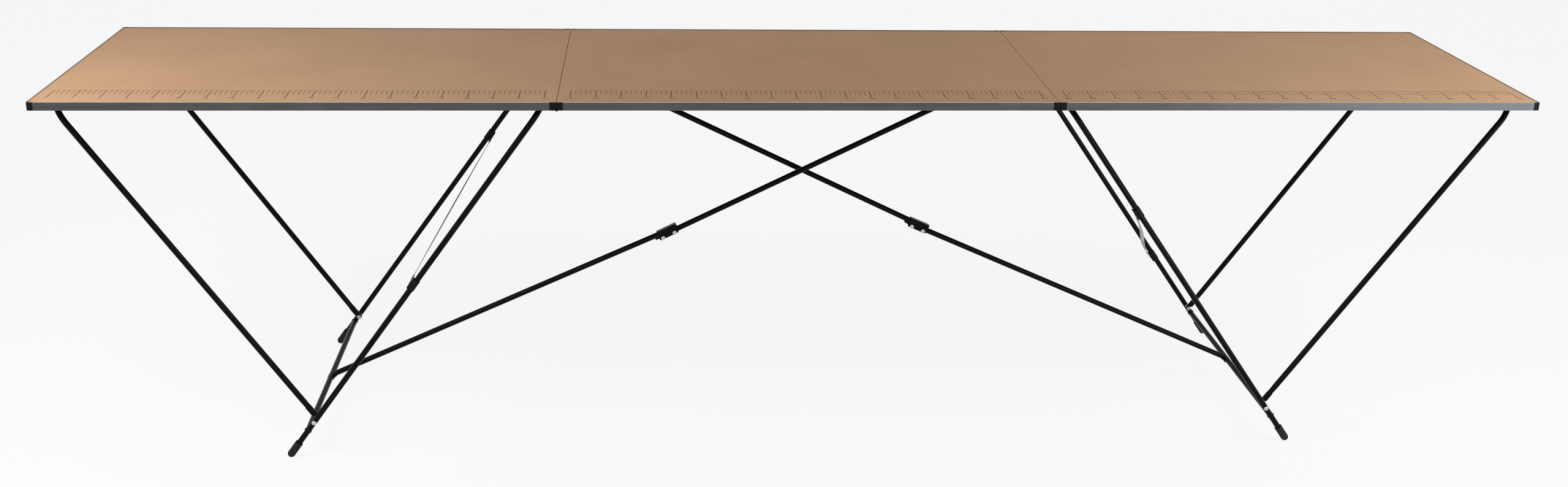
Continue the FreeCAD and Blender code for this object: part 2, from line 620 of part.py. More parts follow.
def leg_frame(side, turn):
    frame = on_side(turn, LEG_PIVOT, LEG_TILT)
    tube_end = LEG_LENGTH - size("foot_wall")
    tube = bent_half(side + "_leg_tube", "leg_bend_radius", LEG_TOP_Y, str(half_width_at(tube_end)),
                     str(tube_end))
    holes = rod(side + "_leg_stud_holes", "Y", "Sizes.stud_radius + Sizes.running_fit", "Sizes.table_depth",
                (str(STUD_RUN), "-Sizes.table_depth / 2", "0"))
    node(cut(side + "_leg_drilled", tube, holes), side + "_leg_frame", frame)

    width = half_width_at(CROSSBAR_RUN)
    solid = rod(side + "_crossbar_solid", "Y", TUBE_R, str(2 * width), (str(CROSSBAR_RUN), str(-width), "0"))
    hollow = rod(side + "_crossbar_hollow", "Y", TUBE_R + " - Sizes.tube_wall", str(2 * width),
                 (str(CROSSBAR_RUN), str(-width), "0"))
    saddles = []
    for sign in (-1, 1):
        saddle = rod(f"{side}_crossbar_saddle{sign + 1}", "X", TUBE_R + " + Sizes.weld_gap",
                     "4 * Sizes.tube_diameter")
        across = Placement(Vector(-2 * size("tube_diameter"), 0, 0), ALONG["X"])
        saddle.Placement = arm_place(CROSSBAR_RUN, sign) * across
        saddles.append(saddle)
    node(cut(side + "_crossbar_coped", solid, hollow, *saddles), side + "_leg_crossbar", frame)

    feet = []
    studs = []
    for sign in (-1, 1):
        foot = foot_cap(f"{side}_foot{sign + 1}")
        foot.Placement = frame * arm_place(LEG_LENGTH, sign)
        feet.append(foot)
        stud = hook_stud(f"{side}_stud{sign + 1}", str(half_width_at(STUD_RUN)))
        stud.Placement = frame * Placement(Vector(STUD_RUN, 0, 0), Rotation(X_AXIS, 90 - 90 * sign))
        studs.append(stud)
    group(side + "_foot_caps", feet)
    group(side + "_hook_studs", studs)

    lower = size(side + "_strap_lower_length")
    ends = [(size("strap_upper_length"), -1, -1), (lower, 1, STRAP_LOWER_FACE[side])]
    seat = TUBE_RADIUS + size("running_fit") + size("strap_pad") + size("running_fit")
    heights = {-1: -seat, 1: seat + size("strap_thickness") + size("strap_lift")}
    clips = []
    places = []
    for index, (run, sign, face) in enumerate(ends):
        clip = strap_clip(f"{side}_strap_clip{index}")
        clip.Placement = frame * arm_place(run, sign) * Placement(Vector(), Rotation(X_AXIS, 90 + 90 * face))
        clips.append(clip)
        places.append(arm_place(run, sign).Base + Z_AXIS * heights[face])
    group(side + "_strap_clips", clips)
    run = places[1] - places[0]
    yaw = Rotation(Z_AXIS, math.degrees(math.atan2(run.y, run.x)))
    pitch = Rotation(Y_AXIS, -math.degrees(math.atan2(run.z, math.hypot(run.x, run.y))))
    band = strap(side + "_strap_band", run.Length, size(side + "_strap_sag"))
    node(band, side + "_leg_strap", frame * Placement(places[0], yaw * pitch))


# Braces: one U-bent tube with flattened, notched lower ends that hook on the leg studs

def brace(side, turn):
    name = side + "_brace"
    frame = on_side(turn, BRACE_PIVOT, BRACE_TILT)
    round_end = BRACE_LENGTH - size("blade_length") - size("blade_taper")
    tube = bent_half(name + "_tube", "brace_bend_radius", BRACE_Y, BRACE_Y, str(round_end))
    pieces = [tube]
    notches = []
    away = Rotation(Y_AXIS, -BRACE_TILT).multVec(X_AXIS)
    for sign in (-1, 1):
        tag = f"{name}_arm{sign + 1}"
        across = f"{sign} * {BRACE_Y}"
        mouth = doc.addObject("Part::Circle", tag + "_round")
        bind(mouth, Radius=TUBE_R)
        squashed = doc.addObject("Part::Ellipse", tag + "_flat")
        bind(squashed, MajorRadius="Sizes.blade_width / 2", MinorRadius="Sizes.blade_thickness / 2")
        mouth.Placement = Placement(Vector(round_end, 0, 0), ALONG["X"])
        squashed.Placement = Placement(Vector(round_end + size("blade_taper"), 0, 0), ALONG["X"])
        for section, run in ((mouth, round_end), (squashed, round_end + size("blade_taper"))):
            put(section, (str(run), across, "0"))
        taper = doc.addObject("Part::Loft", tag + "_taper")
        taper.Sections = [mouth, squashed]
        taper.Solid = True
        flat_y = f"{across} - Sizes.blade_thickness / 2"
        blade = box(tag + "_blade", "Sizes.blade_length + Sizes.blade_taper / 4", "Sizes.blade_thickness",
                    "Sizes.blade_width",
                    (str(BRACE_LENGTH) + " - Sizes.blade_length - Sizes.blade_taper / 4", flat_y,
                     "-Sizes.blade_width / 2"))
        tip = rod(tag + "_tip", "Y", "Sizes.blade_width / 2", "Sizes.blade_thickness",
                  (str(BRACE_LENGTH), flat_y, "0"))
        pieces += [taper, blade, tip]
        seat_radius = "(Sizes.stud_radius + Sizes.hook_clearance)"
        seat = rod(tag + "_seat", "Y", seat_radius, "2 * Sizes.blade_width",
                   (str(BRACE_LENGTH), f"{across} - Sizes.blade_width", "0"))
        slot = box(tag + "_slot", "2 * Sizes.blade_width", "2 * Sizes.blade_width", f"2 * {seat_radius}")
        heading = Rotation(Y_AXIS, -math.degrees(math.atan2(away.z, away.x)))
        corner = Vector(0, -size("blade_width"), -size("stud_radius") - size("hook_clearance"))
        middle = Vector(BRACE_LENGTH, sign * worked_out(BRACE_Y), 0)
        slot.Placement = Placement(middle, heading) * Placement(corner, Rotation())
        notches += [seat, slot]
    node(cut(name + "_notched", fuse(name + "_bent", *pieces), *notches), side + "_brace_frame", frame)


def leg_pivot_block(name):
    """A moulded block under the board, round below, bored for the leg frame's base, with a foot each side."""
    drop = f"(Sizes.leg_pivot_drop - {UNDER_BOARD})"
    half = "Sizes.block_length / 2"
    body = box(name + "_body", "2 * Sizes.block_half_width", "Sizes.block_length", drop,
               ("-Sizes.block_half_width", f"-{half}", "0"))
    round_below = rod(name + "_round", "Y", f"{TURNING_R} + Sizes.block_wall", "Sizes.block_length",
                      ("0", f"-{half}", "0"))
    feet = box(name + "_feet", "2 * Sizes.block_half_width", "Sizes.block_length + 2 * Sizes.block_foot",
               "Sizes.block_foot_thickness",
               ("-Sizes.block_half_width", f"-{half} - Sizes.block_foot",
                f"{drop} - Sizes.block_foot_thickness"))
    bore = rod(name + "_bore", "Y", TURNING_R, "2 * Sizes.block_length", ("0", "-Sizes.block_length", "0"))
    return cut(name, fuse(name + "_moulding", body, round_below, feet), bore)


def brace_saddle(name):
    """A sheet saddle under the brace's base, with a foot on each side against the board."""
    drop = f"(Sizes.brace_pivot_drop - {UNDER_BOARD})"
    half = "Sizes.saddle_length / 2"
    outside = f"({TURNING_R} + Sizes.saddle_sheet)"
    ring = rod(name + "_ring", "Y", outside, "Sizes.saddle_length", ("0", f"-{half}", "0"))
    cheeks = box(name + "_cheeks", f"2 * {outside}", "Sizes.saddle_length", drop,
                 (f"-{outside}", f"-{half}", "0"))
    feet = box(name + "_feet", f"2 * ({outside} + Sizes.saddle_foot)", "Sizes.saddle_length",
               "Sizes.saddle_sheet",
               (f"-{outside} - Sizes.saddle_foot", f"-{half}", f"{drop} - Sizes.saddle_sheet"))
    bore = rod(name + "_bore", "Y", TURNING_R, "2 * Sizes.saddle_length", ("0", "-Sizes.saddle_length", "0"))
    throat = box(name + "_throat", f"2 * {TURNING_R}", "2 * Sizes.saddle_length", f"2 * {drop}",
                 (f"-{TURNING_R}", "-Sizes.saddle_length", "0"))
    above = box(name + "_above", f"4 * {outside}", "2 * Sizes.saddle_length", f"2 * {outside}",
                (f"-2 * {outside}", "-Sizes.saddle_length", drop))
    return cut(name, fuse(name + "_sheet", ring, cheeks, feet), bore, throat, above)


def pivots(side, turn):
    blocks = []
    saddles = []
    for sign in (-1, 1):
        y = sign * (HALF_DEPTH - size("block_inset"))
        block = leg_pivot_block(f"{side}_leg_block{sign + 1}")
        block.Placement = on_side(turn, Vector(LEG_PIVOT.x, y, LEG_PIVOT.z))
        blocks.append(block)
        saddle = brace_saddle(f"{side}_saddle{sign + 1}")
        saddle.Placement = on_side(turn, Vector(BRACE_PIVOT.x, y, BRACE_PIVOT.z))
        saddles.append(saddle)
    group(side + "_leg_pivot_blocks", blocks)
    group(side + "_brace_saddles", saddles)


# Crossing stays: bracket and pin under the middle panel, two tubes, knee channel, lug and cradle clip; the
# swinging tube sits higher in the channel than the other one, so that both fold flat against each other

CHEEK = "(Sizes.tube_diameter / 2 + Sizes.side_play)"


def stay_tube(name, start, finish, holes):
    """A tube along local X, drilled across at the given places."""
    base = (start, "0", "0")
    solid = rod(name + "_solid", "X", TUBE_R, f"{finish} - ({start})", base)
    hollow = rod(name + "_hollow", "X", TUBE_R + " - Sizes.tube_wall", f"{finish} - ({start})", base)
    drills = []
    for index, (run, height) in enumerate(holes):
        drills.append(rod(f"{name}_drill{index}", "Y", "Sizes.bolt_radius + Sizes.running_fit",
                          "2 * Sizes.tube_diameter", (run, "-Sizes.tube_diameter", height)))
    return cut(name, solid, hollow, *drills)


def knee_channel(name):
    """A folded channel over both knee bolts, open below; its web stops the swinging tube."""
    outside = f"({CHEEK} + Sizes.knee_wall)"
    long = "(Sizes.knee_spacing + 2 * Sizes.knee_margin)"
    above = f"(Sizes.knee_rise + {TUBE_R} + 2 * Sizes.side_play)"
    shell = box(name + "_shell", long, f"2 * {outside}", f"{above} + Sizes.knee_wall + Sizes.knee_below",
                ("-Sizes.knee_margin", f"-{outside}", "-Sizes.knee_below"))
    top = worked_out(above) + size("knee_wall")
    side = TUBE_RADIUS + size("side_play") + size("knee_wall")
    near = size("knee_wall") / 2

    def wanted(bounds):
        on_top = bounds.ZMin > top - near
        on_side_face = abs(bounds.YMin) > side - near and bounds.YLength < near
        at_lower_corner = bounds.ZMax < near - size("knee_below") and bounds.YLength > side
        if at_lower_corner:
            return size("knee_corner_radius")
        return size("knee_bend_radius") if on_top and on_side_face else 0

    folded = round_edges(name + "_folded", shell, wanted)
    trough = box(name + "_trough", f"2 * {long}", f"2 * {CHEEK}", f"{above} + 2 * Sizes.knee_below",
                 (f"-{long}", f"-{CHEEK}", "-2 * Sizes.knee_below"))
    drills = []
    for index, run in enumerate(("0", "Sizes.knee_spacing")):
        drills.append(rod(f"{name}_drill{index}", "Y", "Sizes.bolt_radius + Sizes.running_fit",
                          f"4 * {outside}", (run, f"-2 * {outside}", "0")))
    return cut(name, folded, trough, *drills)


def knee_lug(name, sign):
    """A lug welded under the swinging stay tube, round its knee bolt; the sign is its way along X."""
    half = "Sizes.lug_thickness / 2"
    eye = rod(name + "_eye", "Y", "Sizes.lug_radius", "Sizes.lug_thickness", ("0", f"-{half}", "0"))
    plate = box(name + "_plate", "Sizes.lug_length", "Sizes.lug_thickness", "Sizes.knee_rise",
                ("0" if sign > 0 else "-Sizes.lug_length", f"-{half}", "0"))
    tube = rod(name + "_tube", "X", TUBE_R + " + Sizes.weld_gap", "4 * Sizes.lug_length",
               ("-2 * Sizes.lug_length", "0", "Sizes.knee_rise"))
    hole = rod(name + "_hole", "Y", "Sizes.bolt_radius + Sizes.running_fit", "4 * Sizes.lug_thickness",
               ("0", "-2 * Sizes.lug_thickness", "0"))
    return cut(name, fuse(name + "_blank", eye, plate), tube, hole)


def hexagon(name, at):
    prism = doc.addObject("Part::Prism", name)
    prism.Polygon = 6
    prism.Placement = Placement(ORIGIN, ALONG["Y"])
    bind(prism, Circumradius="Sizes.bolt_head_radius", Height="Sizes.bolt_head_height")
    return put(prism, at)


def knee_fasteners(side, knee):
    outside = f"({CHEEK} + Sizes.knee_wall)"
    reach = f"(2 * {outside} + Sizes.bolt_head_height + Sizes.bolt_thread_end)"
    bolts = []
    nuts = []
    for index, run in enumerate((0, size("knee_spacing"))):
        place = knee * Placement(Vector(run, 0, 0), Rotation())
        head = hexagon(f"{side}_bolt_head{index}", ("0", f"-{outside} - Sizes.bolt_head_height", "0"))
        shank = rod(f"{side}_bolt_shank{index}", "Y", "Sizes.bolt_radius", reach, ("0", f"-{outside}", "0"))
        bolt = fuse(f"{side}_bolt{index}", head, shank)
        bolt.Placement = place
        bolts.append(bolt)
        blank = hexagon(f"{side}_nut_blank{index}", ("0", outside, "0"))
        thread = rod(f"{side}_nut_thread{index}", "Y", "Sizes.bolt_radius + Sizes.running_fit", reach,
                     ("0", "0", "0"))
        nut = cut(f"{side}_nut{index}", blank, thread)
        nut.Placement = place
        nuts.append(nut)
    group(side + "_knee_bolts", bolts)
    group(side + "_knee_nuts", nuts)


def cradle_clip(name):
    """A half-round cradle under the crossbar, on a plug in the stay tube's end."""
    inner = f"({TUBE_R} + Sizes.clip_play)"
    outer = f"({inner} + Sizes.clip_wall)"
    half = "Sizes.clip_length / 2"
    shell = rod(name + "_shell", "Y", outer, "Sizes.clip_length", ("0", f"-{half}", "0"))
    opening = box(name + "_opening", f"4 * {outer}", "2 * Sizes.clip_length", f"4 * {outer}")
    reach = 4 * (TUBE_RADIUS + size("clip_play") + size("clip_wall"))
    corner = Vector(-reach / 2, -size("clip_length"), 0)
    lean = Placement(ORIGIN, Rotation(Y_AXIS, -size("clip_opening_angle")))
    opening.Placement = lean * Placement(corner, Rotation())
    cradle = cut(name + "_cradle", shell, opening)
    shoulder = "(Sizes.clip_setback - Sizes.running_fit)"
    plug = rod(name + "_plug", "X", f"{TUBE_R} - Sizes.tube_wall - Sizes.running_fit",
               f"Sizes.clip_plug + Sizes.clip_setback - {outer}",
               ("-Sizes.clip_setback - Sizes.clip_plug", "0", "0"))
    neck = box(name + "_neck", shoulder, f"2 * {TUBE_R}", TUBE_R,
               (f"-{shoulder}", f"-{TUBE_R}", f"-{TUBE_R}"))
    hollow = rod(name + "_hollow", "Y", inner, "2 * Sizes.clip_length", ("0", "-Sizes.clip_length", "0"))
    return cut(name, fuse(name + "_moulding", cradle, plug, neck), hollow)


def stay_bracket(name):
    """A clevis under the board: a base with two round-ended ears for the stay's pivot pin."""
    drop = f"(Sizes.stay_pivot_drop - {UNDER_BOARD})"
    outside = f"({CHEEK} + Sizes.bracket_sheet)"
    pieces = [box(name + "_base", "Sizes.bracket_length", f"2 * {outside}", "Sizes.bracket_sheet",
                  ("-Sizes.bracket_length / 2", f"-{outside}", f"{drop} - Sizes.bracket_sheet"))]
    for index, inner_face in enumerate((f"-{outside}", CHEEK)):
        pieces.append(box(f"{name}_ear{index}", "2 * Sizes.ear_radius", "Sizes.bracket_sheet", drop,
                          ("-Sizes.ear_radius", inner_face, "0")))
        pieces.append(rod(f"{name}_round{index}", "Y", "Sizes.ear_radius", "Sizes.bracket_sheet",
                          ("0", inner_face, "0")))
    hole = rod(name + "_hole", "Y", "Sizes.bolt_radius + Sizes.running_fit", f"4 * {outside}",
               ("0", f"-2 * {outside}", "0"))
    return cut(name, fuse(name + "_sheet", *pieces), hole)


def stay_pin(name):
    """A pin through the bracket, headed outside both ears."""
    outside = f"({CHEEK} + Sizes.bracket_sheet)"
    thick = "Sizes.bolt_head_height / 2"
    shank = rod(name + "_shank", "Y", "Sizes.bolt_radius", f"2 * {outside}", ("0", f"-{outside}", "0"))
    near = rod(name + "_near", "Y", "Sizes.bolt_head_radius", thick, ("0", f"-{outside} - {thick}", "0"))
    far = rod(name + "_far", "Y", "Sizes.bolt_head_radius", thick, ("0", outside, "0"))
    return fuse(name, shank, near, far)


def stays():
    brackets = []
    pins = []
    for side, turn in SIDES:
        bracket = stay_bracket(side + "_stay_bracket")
        bracket.Placement = on_side(turn, STAY_PIVOT)
        brackets.append(bracket)
        pin = stay_pin(side + "_stay_pin")
        pin.Placement = on_side(turn, STAY_PIVOT)
        pins.append(pin)
        upper_tilt, lower_tilt = STAY_TILTS[side]
        upper_end, lower_end = "Sizes.lug_end", "Sizes.tube_overhang"
        upper_holes = [("0", "0")]
        lower_holes = []
        if side == CHANNEL_SIDE:
            upper_end, lower_end = lower_end, upper_end
            upper_holes.append((str(STAY_HALF), "-Sizes.knee_drop"))
            knee = on_side(turn, knee_place(side, 0), upper_tilt)
            swing = on_side(turn, knee_place(side, size("knee_spacing")), lower_tilt)
            lug = knee_lug(side + "_lug", 1)
        else:
            lower_holes.append((str(-STAY_HALF), "-Sizes.knee_drop"))
            knee = on_side(turn, knee_place(side, 0), lower_tilt)
            swing = on_side(turn, knee_place(side, 0), upper_tilt)
            lug = knee_lug(side + "_lug", -1)
        upper = stay_tube(side + "_upper", "-Sizes.tube_overhang", f"{STAY_HALF} + {upper_end}", upper_holes)
        node(upper, side + "_stay_upper_tube", on_side(turn, STAY_PIVOT, upper_tilt))
        node(knee_channel(side + "_knee"), side + "_knee_channel", knee)
        knee_fasteners(side, knee)
        node(lug, side + "_knee_lug", swing)
        lower = stay_tube(side + "_lower", f"-{STAY_HALF} - {lower_end}", "-Sizes.clip_setback", lower_holes)
        node(lower, side + "_stay_lower_tube", on_side(turn, STAY_END, lower_tilt))
        clip = cradle_clip(side + "_clip")
        node(clip, side + "_stay_clip", on_side(turn, STAY_END, lower_tilt))
    group("stay_brackets", brackets)
    group("stay_pins", pins)


# Rivets through the hinge leaves, pivot blocks, saddles and stay brackets, as low domes under each flange

def rivets_at(name, turn, places):
    lift = size("rivet_radius") * math.tan(math.radians(size("rivet_dome"))) - size("running_fit")
    heads = []
    for index, place in enumerate(places):
        head = doc.addObject("Part::Sphere", f"{name}{index}")
        bind(head, Radius="Sizes.rivet_radius / cos(Sizes.rivet_dome)", Angle2="-Sizes.rivet_dome")
        head.Placement = on_side(turn, place + Z_AXIS * lift)
        heads.append(head)
    return heads


def rivets():
    leaf_x = (size("leaf_setback") + size("flange_width")) / 2
    leaf_z = HINGE.z + size("hinge_drop") - size("leaf_thickness")
    leaf_ys = []
    for sign in (-1, 1):
        for step in (-1, 1):
            leaf_ys.append(sign * (HALF_DEPTH - size("hinge_inset")) + step * size("hinge_length") / 4)
    foot_y = (size("block_length") + size("block_foot")) / 2
    foot_z = UNDERSIDE - size("block_foot_thickness")
    saddle_x = TUBE_RADIUS + size("running_fit") + size("saddle_sheet") + size("saddle_foot") / 2
    saddle_z = UNDERSIDE - size("saddle_sheet")
    bracket_x = (size("bracket_length") / 2 + size("ear_radius")) / 2
    bracket_z = UNDERSIDE - size("bracket_sheet")
    middle = []
    for side, turn in SIDES:
        inner = [Vector(HINGE.x - leaf_x, y, leaf_z) for y in leaf_ys]
        outer = [Vector(HINGE.x + leaf_x, y, leaf_z) for y in leaf_ys]
        for step in (-1, 1):
            inner.append(Vector(STAY_PIVOT.x + step * bracket_x, STAY_PIVOT.y, bracket_z))
            for sign in (-1, 1):
                y = sign * (HALF_DEPTH - size("block_inset"))
                outer.append(Vector(LEG_PIVOT.x, y + step * foot_y, foot_z))
                outer.append(Vector(BRACE_PIVOT.x + step * saddle_x, y, saddle_z))
        middle += rivets_at(side + "_middle_rivet", turn, inner)
        group(side + "_rivets", rivets_at(side + "_rivet", turn, outer))
    group("middle_rivets", middle)


SIDES = [("right", 0), ("left", 180)]

top_panel("middle", 0, "left", "right")
top_panel("left", -PITCH, "outer", "inner")
top_panel("right", PITCH, "inner", "outer")
hinges()
for side_name, half_turn in SIDES:
    leg_frame(side_name, half_turn)
    brace(side_name, half_turn)
    pivots(side_name, half_turn)
stays()
rivets()
doc.recompute()

for feature in doc.Objects:
    if "Invalid" in feature.State or "Error" in feature.State:
        raise RuntimeError(f"{feature.Name} did not compute: {feature.State}")
for piece in nodes:
    if piece.Shape.isNull() or not piece.Shape.isValid():
        raise RuntimeError(f"{piece.Label} has no valid shape")

os.makedirs("parts", exist_ok=True)
for piece in nodes:
    piece.Shape.exportStep(f"parts/{piece.Label}.step")
print(len(nodes), "nodes;", "leg", round(LEG_LENGTH, 1), "at", round(LEG_TILT, 3), "deg; brace",
      round(BRACE_LENGTH, 1), "at", round(BRACE_TILT, 3), "deg; stay half", round(STAY_HALF, 1),
      "at", round(STAY_TILTS[CHANNEL_SIDE][0], 3), "deg")
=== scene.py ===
import json
import math

import bmesh
import bpy
from mathutils import Euler, Matrix, Vector, noise


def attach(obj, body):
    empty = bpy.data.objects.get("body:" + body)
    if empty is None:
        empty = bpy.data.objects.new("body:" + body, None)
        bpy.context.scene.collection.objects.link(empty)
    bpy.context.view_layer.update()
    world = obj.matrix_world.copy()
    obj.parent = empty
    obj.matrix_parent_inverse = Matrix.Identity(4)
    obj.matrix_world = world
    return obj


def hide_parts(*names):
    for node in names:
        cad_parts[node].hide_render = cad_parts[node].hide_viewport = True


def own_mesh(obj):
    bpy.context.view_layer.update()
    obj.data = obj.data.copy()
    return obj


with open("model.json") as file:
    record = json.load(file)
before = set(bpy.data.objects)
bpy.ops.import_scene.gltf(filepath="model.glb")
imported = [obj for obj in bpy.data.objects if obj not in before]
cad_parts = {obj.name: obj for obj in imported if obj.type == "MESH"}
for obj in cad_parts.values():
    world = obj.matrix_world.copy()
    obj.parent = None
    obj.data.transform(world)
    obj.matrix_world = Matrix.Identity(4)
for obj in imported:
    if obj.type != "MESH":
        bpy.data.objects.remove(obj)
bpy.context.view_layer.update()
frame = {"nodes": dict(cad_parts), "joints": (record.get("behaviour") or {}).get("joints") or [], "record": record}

MM = 0.001
UP = Vector((0, 0, 1))
WHITE = (1.0, 1.0, 1.0)

# Places of the folding frame, in metres, on the right side; the left side is turned half round.
# A leg folds flat under its panel, so the angle that it folds through is its tilt.

JOINTS = {joint["name"]: joint for joint in frame["joints"]}
LEG_PIVOT = Vector(JOINTS["right_leg_fold"]["pos_m"])
LEG_TILT = math.radians(JOINTS["right_leg_fold"]["range_deg"][1])
BOARD_TOP = max(vertex.co.z for vertex in frame["nodes"]["middle_board"].data.vertices)
PANEL_LENGTH = 1000.0 * MM
LEG_LENGTH = 911.0 * MM
LEG_TOP_HALF = 266.0 * MM
LEG_SPLAY = 12.0 * MM
CROSSBAR_RUN = 848.5 * MM
TUBE_RADIUS = 6.0 * MM
STRAP_SEAT = 8.6 * MM
STRAP_UPPER_RUN = 270.0 * MM
STRAP_LOWER_RUN = {"right": 658.0 * MM, "left": 451.0 * MM}
STRAP_LOWER_FACE = {"right": -1, "left": 1}
SIDES = {"right": 0.0, "left": math.pi}


def leg_frame(side):
    """Local X runs down the leg, local Y across the table and local Z out of the leg plane."""
    turned = Matrix.Rotation(SIDES[side], 4, "Z")
    return turned @ Matrix.Translation(LEG_PIVOT) @ Matrix.Rotation(LEG_TILT, 4, "Y")


def leg_half_width(run):
    """From the table's middle to the axis of a splayed leg, a given way down the leg."""
    return LEG_TOP_HALF + LEG_SPLAY * run / LEG_LENGTH


# Finishes: every one is a node tree in the object's own coordinates, so that it moves with its
# piece. Most of a noise texture's values lie in NOISE_SPAN.

NOISE_SPAN = (0.3, 0.7)
MIX_FACTOR, MIX_FIRST, MIX_SECOND, MIX_RESULT = 0, 6, 7, 2


class Finish:
    """A material on one Principled shader, with short calls for the nodes that feed it."""

    def __init__(self, name):
        self.material = bpy.data.materials.new(name)
        self.material.use_nodes = True
        self.tree = self.material.node_tree
        self.shader = self.tree.nodes["Principled BSDF"]
        self.place = self.tree.nodes.new("ShaderNodeTexCoord").outputs

    def node(self, kind, settings=None, **inputs):
        made = self.tree.nodes.new(kind)
        for key, value in (settings or {}).items():
            setattr(made, key, value)
        for key, value in inputs.items():
            self.feed(made.inputs[key.replace("_", " ")], value)
        return made

    def feed(self, socket, value):
        if isinstance(value, bpy.types.NodeSocket):
            self.tree.links.new(value, socket)
        else:
            socket.default_value = value

    def set(self, **inputs):
        for key, value in inputs.items():
            self.feed(self.shader.inputs[key.replace("_", " ")], value)

    def facing_up(self):
        return self.node("ShaderNodeSeparateXYZ", Vector=self.place["Normal"]).outputs["Z"]

    def stretched(self, scale, turn=(0, 0, 0)):
        made = self.node("ShaderNodeMapping", Vector=self.place["Object"], Scale=scale,
                         Rotation=turn)
        return made.outputs["Vector"]

    def noise(self, vector, scale, detail, roughness, distortion=0.0):
        made = self.node("ShaderNodeTexNoise", Vector=vector, Scale=scale, Detail=detail,
                         Roughness=roughness, Distortion=distortion)
        return made.outputs["Fac"]

    def ramp(self, fac, *stops):
        made = self.node("ShaderNodeValToRGB", Fac=fac)
        elements = made.color_ramp.elements
        while len(elements) < len(stops):
            elements.new(0.5)
        for element, (position, colour) in zip(elements, stops):
            element.position = position
            element.color = (*colour, 1.0)
        return made.outputs["Color"]

    def range(self, value, span, target):
        made = self.node("ShaderNodeMapRange", Value=value, From_Min=span[0], From_Max=span[1],
                         To_Min=target[0], To_Max=target[1])
        return made.outputs["Result"]

    def mix(self, fac, first, second, blend="MIX"):
        made = self.node("ShaderNodeMix", {"data_type": "RGBA", "blend_type": blend})
        self.feed(made.inputs[MIX_FACTOR], fac)
        self.feed(made.inputs[MIX_FIRST], first)
        self.feed(made.inputs[MIX_SECOND], second)
        return made.outputs[MIX_RESULT]

    def tinted(self, colour, tint):
        return self.mix(1.0, colour, tint, "MULTIPLY")

    def math(self, operation, first, second=0.0):
        made = self.node("ShaderNodeMath", {"operation": operation})
        self.feed(made.inputs[0], first)
        self.feed(made.inputs[1], second)
        return made.outputs[0]

    def bump(self, height, distance, strength):
        made = self.node("ShaderNodeBump", Height=height, Distance=distance, Strength=strength)
        return made.outputs["Normal"]


def shade(red, green, blue):
    """A colour as a paint chart gives it, 0 to 255, made linear by the sRGB curve."""
    return tuple((c / 255 / 12.92) if c < 10.5 else ((c / 255 + 0.055) / 1.055) ** 2.4
                 for c in (red, green, blue))


def hardboard():
    """Pressed brown fibreboard: random fibres, faint clouding, and a screen pattern on its back."""
    f = Finish("hardboard")
    flat = f.place["Object"]
    fibres = f.noise(f.stretched((1.0, 2.6, 1.0)), scale=420.0, detail=6.0, roughness=0.7,
                     distortion=1.2)
    crossing = f.noise(f.stretched((2.6, 1.0, 1.0), turn=(0, 0, 0.6)), scale=380.0, detail=6.0,
                       roughness=0.7, distortion=1.2)
    felt = f.math("MULTIPLY", f.math("ADD", fibres, crossing), 0.5)
    brown = f.ramp(felt, (0.30, shade(150, 110, 76)), (0.47, shade(180, 136, 97)),
                   (0.56, shade(190, 145, 105)), (0.72, shade(207, 163, 123)))
    clouds = f.noise(flat, scale=5.5, detail=4.0, roughness=0.6)
    tone = f.ramp(clouds, (0.30, (0.90, 0.885, 0.87)), (0.70, WHITE))
    flecks = f.noise(flat, scale=1500.0, detail=2.0, roughness=0.5)
    speck = f.ramp(flecks, (0.66, WHITE), (0.76, (0.72, 0.66, 0.60)))
    colour = f.tinted(f.tinted(brown, tone), speck)
    back = f.range(f.facing_up(), (-0.4, -0.6), (0.0, 1.0))
    bands = [f.node("ShaderNodeTexWave", {"bands_direction": axis}, Vector=flat, Scale=130.0)
             for axis in "XY"]
    screen = f.math("MULTIPLY", f.math("MULTIPLY", *(b.outputs["Fac"] for b in bands)), back)
    darker = f.mix(f.math("MULTIPLY", back, 0.45), colour, (*shade(120, 88, 62), 1.0))
    f.set(Base_Color=darker, Roughness=f.range(felt, NOISE_SPAN, (0.50, 0.66)))
    f.set(Specular_IOR_Level=0.22)
    height = f.math("ADD", f.math("MULTIPLY", felt, 0.25), screen)
    f.set(Normal=f.bump(height, 0.25 * MM, 0.5))
    return f.material


def edge_profile(along):
    """Aluminium extrusion: die lines along it, a dull oxide bloom, and a painted highlight: a brighter grey on the
    faces that look up, along the top of the lip.
    """
    f = Finish("edge_profile_" + along)
    scale = (3.0, 900.0, 900.0) if along == "x" else (900.0, 3.0, 900.0)
    lines = f.noise(f.stretched(scale), scale=1.0, detail=4.0, roughness=0.6)
    bloom = f.noise(f.place["Object"], scale=14.0, detail=4.0, roughness=0.6)
    oxide = f.ramp(lines, (0.25, (0.080, 0.078, 0.077)), (0.75, (0.134, 0.131, 0.129)))
    # Faces that look up take this brighter grey instead of the oxide: a painted highlight along the top of the
    # lip, not wear.
    painted_highlight = f.ramp(lines, (0.25, (0.32, 0.32, 0.323)), (0.75, (0.46, 0.46, 0.463)))
    grey = f.mix(f.range(f.facing_up(), (0.5, 0.8), (0.0, 1.0)), oxide, painted_highlight)
    dull = f.ramp(bloom, (0.35, (0.86, 0.86, 0.87)), (0.65, WHITE))
    rough = f.math("ADD", f.range(lines, NOISE_SPAN, (0.30, 0.40)),
                   f.range(bloom, NOISE_SPAN, (0.0, 0.08)))
    f.set(Base_Color=f.tinted(grey, dull), Metallic=1.0, Roughness=rough)
    f.set(Normal=f.bump(lines, 0.06 * MM, 0.5))
    return f.material


